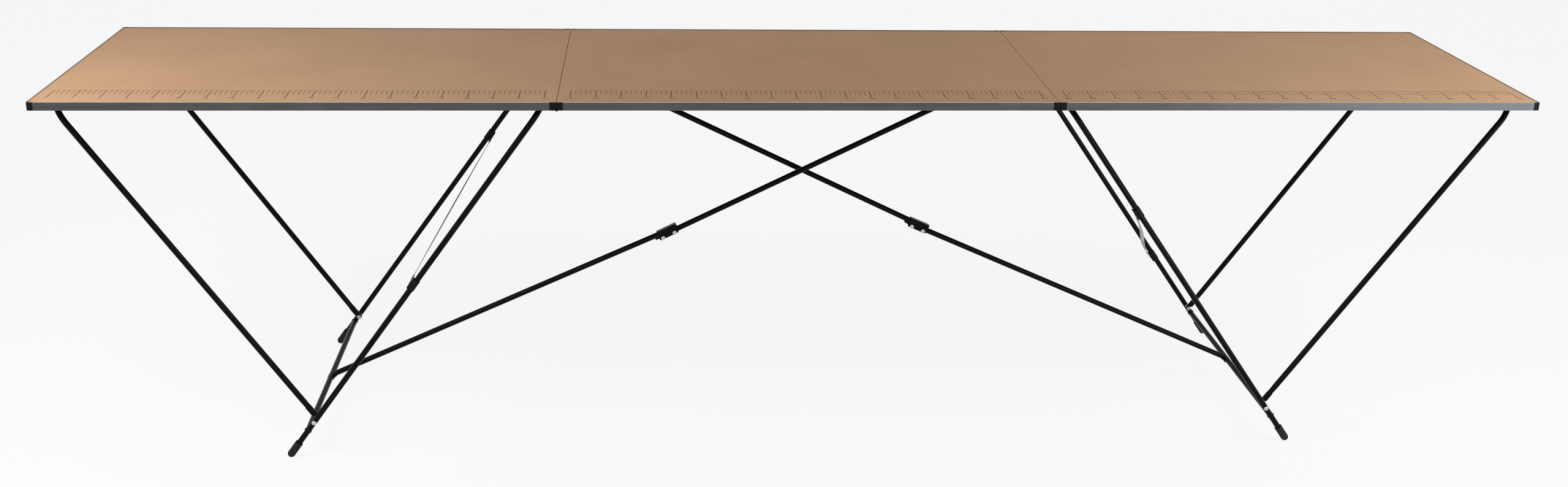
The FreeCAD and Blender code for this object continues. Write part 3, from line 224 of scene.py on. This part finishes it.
def black_tube():
    """Black powder coat on steel tube: orange peel, a soft gloss and dust in places."""
    f = Finish("black_tube")
    peel = f.noise(f.place["Object"], scale=520.0, detail=2.0, roughness=0.5)
    smear = f.noise(f.place["Object"], scale=16.0, detail=5.0, roughness=0.65)
    colour = f.ramp(smear, (0.35, (0.0022, 0.0021, 0.0022)), (0.75, (0.0060, 0.0058, 0.0060)))
    f.set(Base_Color=colour, Roughness=f.range(smear, NOISE_SPAN, (0.20, 0.32)))
    f.set(Specular_IOR_Level=0.07)
    f.set(Normal=f.bump(peel, 0.10 * MM, 0.35))
    return f.material


def black_plastic():
    """Moulded black plastic with a fine spark-eroded grain."""
    f = Finish("black_plastic")
    grain = f.node("ShaderNodeTexVoronoi", Vector=f.place["Object"], Scale=1600.0)
    wear = f.noise(f.place["Object"], scale=45.0, detail=4.0, roughness=0.6)
    colour = f.ramp(wear, (0.35, (0.0035, 0.0034, 0.0036)), (0.75, (0.0095, 0.0093, 0.0096)))
    f.set(Base_Color=colour, Roughness=f.range(wear, NOISE_SPAN, (0.40, 0.55)))
    f.set(Specular_IOR_Level=0.10)
    f.set(Normal=f.bump(grain.outputs["Distance"], 0.08 * MM, 0.4))
    return f.material


def foot_rubber():
    """Black rubber with a dusty bloom."""
    f = Finish("foot_rubber")
    grain = f.noise(f.place["Object"], scale=1400.0, detail=3.0, roughness=0.6)
    dust = f.noise(f.place["Object"], scale=90.0, detail=5.0, roughness=0.7)
    colour = f.ramp(dust, (0.40, (0.008, 0.008, 0.008)), (0.75, (0.028, 0.027, 0.026)))
    f.set(Base_Color=colour, Roughness=f.range(dust, NOISE_SPAN, (0.62, 0.82)))
    f.set(Specular_IOR_Level=0.2)
    f.set(Normal=f.bump(grain, 0.08 * MM, 0.5))
    return f.material


def zinc(name, dark, bright):
    """Zinc plate with a cloudy spangle and fine scratches, between a dark and a bright grey."""
    f = Finish(name)
    spangle = f.node("ShaderNodeTexVoronoi", Vector=f.place["Object"], Scale=260.0)
    cloud = f.noise(f.place["Object"], scale=180.0, detail=4.0, roughness=0.6)
    scratches = f.noise(f.stretched((1.0, 14.0, 1.0), turn=(0.3, 0.2, 0.5)), scale=500.0,
                        detail=3.0, roughness=0.6)
    grey = f.ramp(cloud, (0.30, dark), (0.70, bright))
    tint = f.tinted(grey, f.mix(0.12, (*WHITE, 1.0), spangle.outputs["Color"]))
    f.set(Base_Color=tint, Metallic=1.0, Roughness=f.range(cloud, NOISE_SPAN, (0.22, 0.38)))
    f.set(Normal=f.bump(scratches, 0.04 * MM, 0.4))
    return f.material


def ruler_ink():
    """Dark brown ink, screen printed on the fibreboard and slightly broken by its grain."""
    f = Finish("ruler_ink")
    grain = f.noise(f.place["Object"], scale=1100.0, detail=4.0, roughness=0.65)
    colour = f.ramp(grain, (0.36, shade(66, 38, 22)), (0.60, shade(84, 51, 32)),
                    (0.78, shade(126, 89, 61)))
    f.set(Base_Color=colour, Roughness=f.range(grain, NOISE_SPAN, (0.5, 0.65)))
    f.set(Specular_IOR_Level=0.1)
    f.set(Normal=f.bump(grain, 0.06 * MM, 0.4))
    return f.material


WARP_RIBS_A_METRE = 1150.0
WEFT_PICKS_A_METRE = 700.0


def strap_web(name, pale, dark):
    """Narrow woven tape: warp ribs along it, weft picks across it in a chevron, and fuzz."""
    f = Finish(name)
    web = f.node("ShaderNodeSeparateXYZ", Vector=f.place["UV"]).outputs
    across, along = web["X"], web["Y"]
    slant = f.math("ADD", along, f.math("ABSOLUTE", across))
    ribs = f.math("SINE", f.math("MULTIPLY", across, 2 * math.pi * WARP_RIBS_A_METRE))
    picks = f.math("SINE", f.math("MULTIPLY", slant, 2 * math.pi * WEFT_PICKS_A_METRE))
    thread = f.range(f.math("MULTIPLY", ribs, picks), (-1.0, 1.0), (0.0, 1.0))
    fuzz = f.noise(f.place["Object"], scale=2400.0, detail=3.0, roughness=0.6)
    soil = f.noise(f.place["Object"], scale=30.0, detail=4.0, roughness=0.6)
    colour = f.mix(thread, (*dark, 1.0), (*pale, 1.0))
    tone = f.ramp(soil, (0.35, (0.82, 0.82, 0.82)), (0.70, WHITE))
    f.set(Base_Color=f.tinted(colour, tone), Roughness=f.range(fuzz, NOISE_SPAN, (0.68, 0.86)))
    f.set(Specular_IOR_Level=0.25, Sheen_Weight=0.35, Sheen_Roughness=0.45)
    height = f.math("ADD", f.math("MULTIPLY", thread, 0.7), f.math("MULTIPLY", fuzz, 0.3))
    f.set(Normal=f.bump(height, 0.30 * MM, 0.7))
    return f.material


def sewing_thread(name, pale, dark):
    """Spun polyester thread: a fine twist, fuzz and a dull sheen."""
    f = Finish(name)
    ply = f.noise(f.stretched((1.0, 1.0, 1.0), turn=(0.4, 0.7, 0.2)), scale=3800.0, detail=3.0,
                  roughness=0.6, distortion=0.8)
    colour = f.ramp(ply, (0.35, dark), (0.65, pale))
    f.set(Base_Color=colour, Roughness=f.range(ply, NOISE_SPAN, (0.60, 0.82)))
    f.set(Specular_IOR_Level=0.25, Sheen_Weight=0.25, Sheen_Roughness=0.5)
    f.set(Normal=f.bump(ply, 0.08 * MM, 0.6))
    return f.material


FINISHES = {
    "hardboard": hardboard(),
    "black_plastic": black_plastic(),
    "zinc": zinc("zinc", (0.46, 0.465, 0.48), (0.68, 0.685, 0.70)),
    "black_tube": black_tube(),
    "foot_rubber": foot_rubber(),
    "strap_web": strap_web("strap_web", shade(246, 246, 248), shade(208, 208, 212)),
}
RAILS = {"x": edge_profile("x"), "y": edge_profile("y")}
HINGE_ZINC = zinc("zinc_blackened", (0.020, 0.020, 0.021), (0.045, 0.045, 0.047))
INK = ruler_ink()
GREY_WEB = strap_web("strap_web_grey", shade(150, 149, 148), shade(88, 87, 86))
THREAD = sewing_thread("strap_thread", shade(150, 150, 154), shade(96, 96, 100))
GREY_THREAD = sewing_thread("strap_thread_grey", shade(70, 69, 68), shade(38, 37, 36))


def node_finish(node, surface):
    """The finish of a CAD node: its material slot's, apart from rails and hinges."""
    if surface == "edge_profile":
        return RAILS["y" if "end_rail" in node else "x"]
    if "hinge" in node:
        return HINGE_ZINC
    return FINISHES[surface]


for part in frame["record"]["subparts"]:
    dressed = frame["nodes"][part["node"]].data
    dressed.materials.clear()
    dressed.materials.append(node_finish(part["node"], part["material_slot"]))


# Pieces that the scene adds


def piece(name, bm, finish, body, smooth=False):
    """A new piece made from a bmesh, with its finish, riding on a body."""
    mesh = bpy.data.meshes.new(name)
    bm.to_mesh(mesh)
    bm.free()
    mesh.materials.append(finish)
    for polygon in mesh.polygons:
        polygon.use_smooth = smooth
    made = bpy.data.objects.new(name, mesh)
    bpy.context.scene.collection.objects.link(made)
    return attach(made, body)


def vertex_ring(bm, place, centre, first, second, radius, count):
    """Vertices evenly round a centre, in the plane of two directions."""
    ring = []
    for index in range(count):
        turn = 2 * math.pi * index / count
        out = first * math.cos(turn) + second * math.sin(turn)
        ring.append(bm.verts.new(place @ (centre + out * radius)))
    return ring


def skin(bm, rings):
    """Joins each ring of vertices to the next one."""
    for first, second in zip(rings, rings[1:]):
        for index in range(len(first)):
            after = (index + 1) % len(first)
            bm.faces.new([first[index], first[after], second[after], second[index]])


# Printed ruler along the front of each board: a base line, a tick every centimetre and a number
# every five

RULER_BASE = -213.0 * MM
RULER_STEP = 50.0 * MM
RULER_START = -475.0 * MM
RULER_NUMBERS = 20
NUMBER_STEP = 5
MINOR_TICKS = 4
MAJOR_LENGTH = 45.0 * MM
MINOR_LENGTH = 26.0 * MM
BASE_WIDTH = 0.9 * MM
MAJOR_WIDTH = 1.8 * MM
MINOR_WIDTH = 1.0 * MM
NUMBER_LINE = -265.0 * MM
NUMBER_SIZE = 10.0 * MM
NUMBER_CURVE_STEPS = 3
INK_PROUD = 0.05 * MM


def ink_bar(bm, low, high):
    """A printed stroke between two corners, let into the board by as much as it stands proud."""
    size = (high[0] - low[0], high[1] - low[1], 2 * INK_PROUD)
    middle = ((low[0] + high[0]) / 2, (low[1] + high[1]) / 2, BOARD_TOP)
    place = Matrix.Translation(middle) @ Matrix.Diagonal((*size, 1.0))
    bmesh.ops.create_cube(bm, size=1.0, matrix=place)


def ink_tick(bm, x, width, length):
    """A printed tick from the base line towards the table's front."""
    ink_bar(bm, (x - width / 2, RULER_BASE - length), (x + width / 2, RULER_BASE))


def ink_number(bm, text, x):
    """A printed number, centred under its tick."""
    curve = bpy.data.curves.new("number", "FONT")
    curve.body = text
    curve.size = NUMBER_SIZE
    curve.align_x = "CENTER"
    curve.align_y = "CENTER"
    curve.extrude = INK_PROUD
    curve.resolution_u = NUMBER_CURVE_STEPS
    carrier = bpy.data.objects.new("number", curve)
    bpy.context.scene.collection.objects.link(carrier)
    shapes = bpy.context.evaluated_depsgraph_get()
    mesh = bpy.data.meshes.new_from_object(carrier.evaluated_get(shapes))
    mesh.transform(Matrix.Translation((x, NUMBER_LINE, BOARD_TOP)))
    bm.from_mesh(mesh)
    bpy.data.objects.remove(carrier)
    bpy.data.curves.remove(curve)
    bpy.data.meshes.remove(mesh)


def ruler(panel, middle, first_number):
    """The scale printed on one panel."""
    bm = bmesh.new()
    start = middle + RULER_START
    end = start + RULER_STEP * (RULER_NUMBERS - 1)
    ink_bar(bm, (start, RULER_BASE - BASE_WIDTH / 2), (end, RULER_BASE + BASE_WIDTH / 2))
    for index in range(RULER_NUMBERS):
        x = start + RULER_STEP * index
        ink_tick(bm, x, MAJOR_WIDTH, MAJOR_LENGTH)
        ink_number(bm, str(first_number + NUMBER_STEP * index), x)
        if index == RULER_NUMBERS - 1:
            continue
        for tick in range(1, MINOR_TICKS + 1):
            ink_tick(bm, x + RULER_STEP * tick / (MINOR_TICKS + 1), MINOR_WIDTH, MINOR_LENGTH)
    piece(panel + "_ruler", bm, INK, panel + "_panel")


for order, panel in enumerate(("left", "middle", "right")):
    ruler(panel, (order - 1) * PANEL_LENGTH, order * RULER_NUMBERS * NUMBER_STEP)


# Leg straps: woven tape from the clip on one leg to the clip on the other, with a stitched hem at
# each end

STRAP_STEPS = 96
STRAP_RIBS = 10
STRAP_WIDTH = 9.0 * MM
STRAP_THICK = 1.1 * MM
SELVEDGE_POWER = 6
HEM_LENGTH = 24.0 * MM
HEM_LAYERS = 2
WELD_DISTANCE = 1e-7

TACKS = 4
TACK_FIRST = 14.0 * MM
TACK_STEP = 3.0 * MM
TACK_LENGTH = 0.84 * STRAP_WIDTH
TACK_RADIUS = 0.42 * MM
TACK_RINGS = 48
TACK_SIDES = 6
TACK_STITCHES = 12
TACK_DIP = 0.72
TACK_END_POWER = 8
TACK_END_LEAST = 0.04


def bezier(points, t):
    a, b, c, d = points
    u = 1 - t
    return a * u ** 3 + b * 3 * u ** 2 * t + c * 3 * u * t ** 2 + d * t ** 3


def strap_path(side, lead, sag):
    """The strap's middle line in the leg's frame. It leaves each clip along the leg by a lead."""
    lower_run = STRAP_LOWER_RUN[side]
    start = Vector((STRAP_UPPER_RUN, -leg_half_width(STRAP_UPPER_RUN), -STRAP_SEAT))
    end = Vector((lower_run, leg_half_width(lower_run), STRAP_LOWER_FACE[side] * STRAP_SEAT))
    along = Vector((lead, 0, 0))
    points = []
    for step in range(STRAP_STEPS + 1):
        t = step / STRAP_STEPS
        point = bezier((start, start + along, end - along, end), t)
        points.append(point - UP * sag * 4 * t * (1 - t))
    return points


def tape_axes(points, step, twist):
    """The tape's outward normal and its direction across, at one step of its middle line."""
    tangent = (points[min(step + 1, STRAP_STEPS)] - points[max(step - 1, 0)]).normalized()
    turn = Matrix.Rotation(twist * math.sin(math.pi * step / STRAP_STEPS) ** 2, 3, tangent)
    normal = turn @ (UP - tangent * tangent.dot(UP)).normalized()
    return normal, normal.cross(tangent)


def bar_tack(bm, place, centre, edge, normal):
    """A row of close stitches across the tape: a ridge that swells at every stitch."""
    along = edge.cross(normal)
    rings = []
    for index in range(TACK_RINGS + 1):
        t = index / TACK_RINGS
        swell = TACK_DIP + (1 - TACK_DIP) * abs(math.sin(math.pi * TACK_STITCHES * t))
        taper = math.sqrt(max(1 - (2 * t - 1) ** TACK_END_POWER, TACK_END_LEAST))
        middle = centre + edge * (t - 0.5) * TACK_LENGTH
        radius = TACK_RADIUS * swell * taper
        rings.append(vertex_ring(bm, place, middle, normal, along, radius, TACK_SIDES))
    skin(bm, rings)
    for ring in (rings[0], rings[-1]):
        bm.faces.new(ring)


def hem_stitches(side, points, runs, twist, finish):
    """Bar tacks on both faces of the hem at each end of the strap, clear of the clips."""
    place = leg_frame(side)
    bm = bmesh.new()
    for tack in range(TACKS):
        inset = TACK_FIRST + TACK_STEP * tack
        for run in (inset, runs[-1] - inset):
            step = max(index for index in range(STRAP_STEPS) if runs[index] <= run)
            share = (run - runs[step]) / (runs[step + 1] - runs[step])
            point = points[step].lerp(points[step + 1], share)
            normal, edge = tape_axes(points, step, twist)
            for face in (1, -1):
                bar_tack(bm, place, point + normal * face * STRAP_THICK, edge, normal)
    bmesh.ops.recalc_face_normals(bm, faces=bm.faces)
    stitches = piece(side + "_strap_stitches", bm, finish, side + "_legs", smooth=True)
    return stitches


def tape_ring(bm, place, point, normal, edge, thick, run):
    """Vertices round the tape at one step, each with its place on the web for the weave."""
    ring = []
    for face in (1, -1):
        for rib in range(STRAP_RIBS + 1):
            across = (rib / STRAP_RIBS - 0.5) * face
            crown = thick / 2 * (1 - (2 * across) ** SELVEDGE_POWER) ** 0.5
            at = point + edge * across * STRAP_WIDTH + normal * crown * face
            ring.append((bm.verts.new(place @ at), (across * STRAP_WIDTH, run)))
    return ring


def tape_faces(bm, rows):
    """Joins the tape's rings and closes its ends, with the weave's coordinates on each face."""
    web = bm.loops.layers.uv.new("UVMap")
    for first, second in zip(rows, rows[1:]):
        for index in range(len(first)):
            after = (index + 1) % len(first)
            corners = [first[index], first[after], second[after], second[index]]
            made = bm.faces.new([vertex for vertex, _ in corners])
            for loop, (_, on_web) in zip(made.loops, corners):
                loop[web].uv = on_web
    for ring in (rows[0], rows[-1]):
        bm.faces.new([vertex for vertex, _ in ring])


def strap(side, lead, sag, twist, finish, thread):
    """One leg strap: the tape, in place of the CAD node, and the stitches of its hems."""
    place = leg_frame(side)
    points = strap_path(side, lead, sag)
    runs = [0.0]
    for before, after in zip(points, points[1:]):
        runs.append(runs[-1] + (after - before).length)
    bm = bmesh.new()
    rows = []
    for step, point in enumerate(points):
        normal, edge = tape_axes(points, step, twist)
        in_hem = min(runs[step], runs[-1] - runs[step]) < HEM_LENGTH
        thick = STRAP_THICK * (HEM_LAYERS if in_hem else 1)
        rows.append(tape_ring(bm, place, point, normal, edge, thick, runs[step]))
    tape_faces(bm, rows)
    bmesh.ops.remove_doubles(bm, verts=bm.verts, dist=WELD_DISTANCE)
    bmesh.ops.recalc_face_normals(bm, faces=bm.faces)
    tape = piece(side + "_strap_tape", bm, finish, side + "_legs", smooth=True)
    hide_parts(side + "_leg_strap")
    return tape, hem_stitches(side, points, runs, twist, thread)


def flatten_folded(web):
    """Gives a strap its own copy of its mesh; the strap is not flattened or moved."""
    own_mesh(web)


strap("right", lead=60.0 * MM, sag=3.0 * MM, twist=-0.7, finish=FINISHES["strap_web"],
      thread=THREAD)
for web in strap("left", lead=0.0, sag=-1.0 * MM, twist=0.38, finish=GREY_WEB,
                 thread=GREY_THREAD):
    flatten_folded(web)


# Weld beads where the crossbar meets the legs

BEAD_STEPS = 72
BEAD_SIDES = 8
BEAD_RADIUS = 1.2 * MM
BEAD_LIFT = 0.3 * MM
BEAD_RIPPLES = 9
RIPPLE_SHARE = 0.18
ROUGH_SHARE = 0.25
ROUGH_STEP = 0.31
BEAD_SEED = 7.0


def bead_line(axis, sign):
    """The closed line on which the crossbar meets a leg of the same radius."""
    reach = TUBE_RADIUS + BEAD_LIFT
    line = []
    for step in range(BEAD_STEPS):
        angle = 2 * math.pi * step / BEAD_STEPS
        lift = reach * math.sin(angle)
        inward = math.sqrt(max(reach ** 2 - lift ** 2, 0.0))
        line.append(axis + Vector((reach * math.cos(angle), -sign * inward, lift)))
    return line


def weld_bead(bm, side, sign):
    """A rippled bead round one end of the crossbar."""
    place = leg_frame(side)
    axis = Vector((CROSSBAR_RUN, sign * leg_half_width(CROSSBAR_RUN), 0))
    line = bead_line(axis, sign)
    rings = []
    for step, centre in enumerate(line):
        tangent = (line[(step + 1) % BEAD_STEPS] - line[step - 1]).normalized()
        out = (centre - axis).normalized()
        out = (out - tangent * out.dot(tangent)).normalized()
        spot = Vector((step * ROUGH_STEP, sign * BEAD_SEED, SIDES[side]))
        ripple = 1 + RIPPLE_SHARE * math.sin(BEAD_RIPPLES * 2 * math.pi * step / BEAD_STEPS)
        radius = BEAD_RADIUS * (ripple + ROUGH_SHARE * noise.noise(spot))
        rings.append(vertex_ring(bm, place, centre, out, tangent.cross(out), radius, BEAD_SIDES))
    skin(bm, rings + rings[:1])


def crossbar_welds(side):
    """The beads at both ends of one crossbar."""
    bm = bmesh.new()
    for sign in (-1, 1):
        weld_bead(bm, side, sign)
    bmesh.ops.recalc_face_normals(bm, faces=bm.faces)
    beads = piece(side + "_crossbar_welds", bm, FINISHES["black_tube"], side + "_legs",
                  smooth=True)


for side in SIDES:
    crossbar_welds(side)


# Plain pale floor

FLOOR_HALF = 40.0
FLOOR_DROP = 0.3 * MM
FLOOR_WHITE = 0.88
FLOOR_CORNERS = [(-1, -1), (1, -1), (1, 1), (-1, 1)]


def seen_rays(tree):
    """1 on rays that show the backdrop, directly or by gloss or glass, and 0 on rays that light."""
    path = tree.nodes.new("ShaderNodeLightPath").outputs
    seen = path["Is Camera Ray"]
    for ray in ("Is Glossy Ray", "Is Transmission Ray"):
        either = tree.nodes.new("ShaderNodeMath")
        either.operation = "MAXIMUM"
        tree.links.new(seen, either.inputs[0])
        tree.links.new(path[ray], either.inputs[1])
        seen = either.outputs[0]
    return seen


def floor():
    """A matt floor that shows nearly white and keeps the table's shadow."""
    f = Finish("floor")
    cloud = f.noise(f.place["Object"], scale=1.2, detail=3.0, roughness=0.5)
    f.set(Base_Color=f.ramp(cloud, (0.3, (0.875, 0.875, 0.875)), (0.7, (0.89, 0.89, 0.89))))
    f.set(Roughness=0.85, Specular_IOR_Level=0.15)
    white = f.node("ShaderNodeEmission", Color=(*WHITE, 1.0), Strength=1.0)
    mixed = f.node("ShaderNodeMixShader")
    f.feed(mixed.inputs[0], f.math("MULTIPLY", seen_rays(f.tree), FLOOR_WHITE))
    f.feed(mixed.inputs[1], f.shader.outputs[0])
    f.feed(mixed.inputs[2], white.outputs[0])
    f.feed(f.tree.nodes["Material Output"].inputs["Surface"], mixed.outputs[0])
    mesh = bpy.data.meshes.new("floor")
    corners = [(x * FLOOR_HALF, y * FLOOR_HALF, -FLOOR_DROP) for x, y in FLOOR_CORNERS]
    mesh.from_pydata(corners, [], [(0, 1, 2, 3)])
    mesh.materials.append(f.material)
    made = bpy.data.objects.new("floor", mesh)
    bpy.context.scene.collection.objects.link(made)
    return made


FLOOR = floor()


# Soft studio light: a pale surround, two large softboxes over the ends of the table, and a low one
# at its right

AMBIENT = 0.335
PALE = 0.925
SOFTBOX_TINT = (0.88, 1.0, 1.14)


def surround():
    """A world that lights the table from all round, and shows pale behind it."""
    world = bpy.data.worlds.new("surround")
    bpy.context.scene.world = world
    world.use_nodes = True
    tree = world.node_tree
    tree.nodes.clear()
    mixed = tree.nodes.new("ShaderNodeMixShader")
    tree.links.new(seen_rays(tree), mixed.inputs[0])
    for socket, strength in zip(mixed.inputs[1:], (AMBIENT, PALE)):
        sky = tree.nodes.new("ShaderNodeBackground")
        sky.inputs["Color"].default_value = (*WHITE, 1.0)
        sky.inputs["Strength"].default_value = strength
        tree.links.new(sky.outputs[0], socket)
    out = tree.nodes.new("ShaderNodeOutputWorld")
    tree.links.new(mixed.outputs[0], out.inputs["Surface"])


def softbox(name, place, target, size, watts):
    """A rectangular lamp, turned from its place to a target."""
    light = bpy.data.lights.new(name, "AREA")
    light.shape = "RECTANGLE"
    light.size, light.size_y = size
    light.energy = watts
    light.color = SOFTBOX_TINT
    made = bpy.data.objects.new(name, light)
    made.location = place
    made.rotation_euler = (Vector(target) - Vector(place)).to_track_quat("-Z", "Y").to_euler()
    bpy.context.scene.collection.objects.link(made)
    return made


def keep_off_floor(lamp):
    """Keeps a low lamp's light off the floor, where the edge of its beam would show."""
    linked = bpy.data.collections.new(lamp.name + "_links")
    linked.objects.link(FLOOR)
    linked.collection_objects[0].light_linking.link_state = "EXCLUDE"
    lamp.light_linking.receiver_collection = linked


surround()
softbox("softbox_left", place=(-1.80, -0.82, 1.70), target=(-1.42, -0.14, 0.77),
        size=(0.9, 0.7), watts=22.0)
softbox("softbox_right", place=(1.88, -0.76, 1.80), target=(1.42, -0.12, 0.77),
        size=(0.9, 0.7), watts=18.5)
low_lamp = softbox("softbox_low", place=(2.75, -2.60, 0.42), target=(1.10, -0.30, 0.76),
                   size=(1.7, 0.6), watts=25.0)
keep_off_floor(low_lamp)


# Camera at the photograph's angle, with the optical axis above the middle of the picture

IMAGE_WIDTH = 2559
IMAGE_HEIGHT = 794
OPTICAL_ROW = 260.0
FOCAL_PIXELS = 2616.785
SENSOR_WIDTH = 36.0
CAMERA_PLACE = (-0.3069, -3.3204, 1.6690)
CAMERA_TURN = (71.5410, -1.3148, -4.3912)


def camera():
    data = bpy.data.cameras.new("camera")
    data.sensor_fit = "HORIZONTAL"
    data.sensor_width = SENSOR_WIDTH
    data.lens = FOCAL_PIXELS * SENSOR_WIDTH / IMAGE_WIDTH
    data.shift_y = (OPTICAL_ROW - IMAGE_HEIGHT / 2) / IMAGE_WIDTH
    made = bpy.data.objects.new("camera", data)
    made.location = CAMERA_PLACE
    made.rotation_euler = Euler([math.radians(angle) for angle in CAMERA_TURN])
    bpy.context.scene.collection.objects.link(made)
    bpy.context.scene.camera = made


camera()
bpy.context.scene.view_settings.view_transform = "Standard"
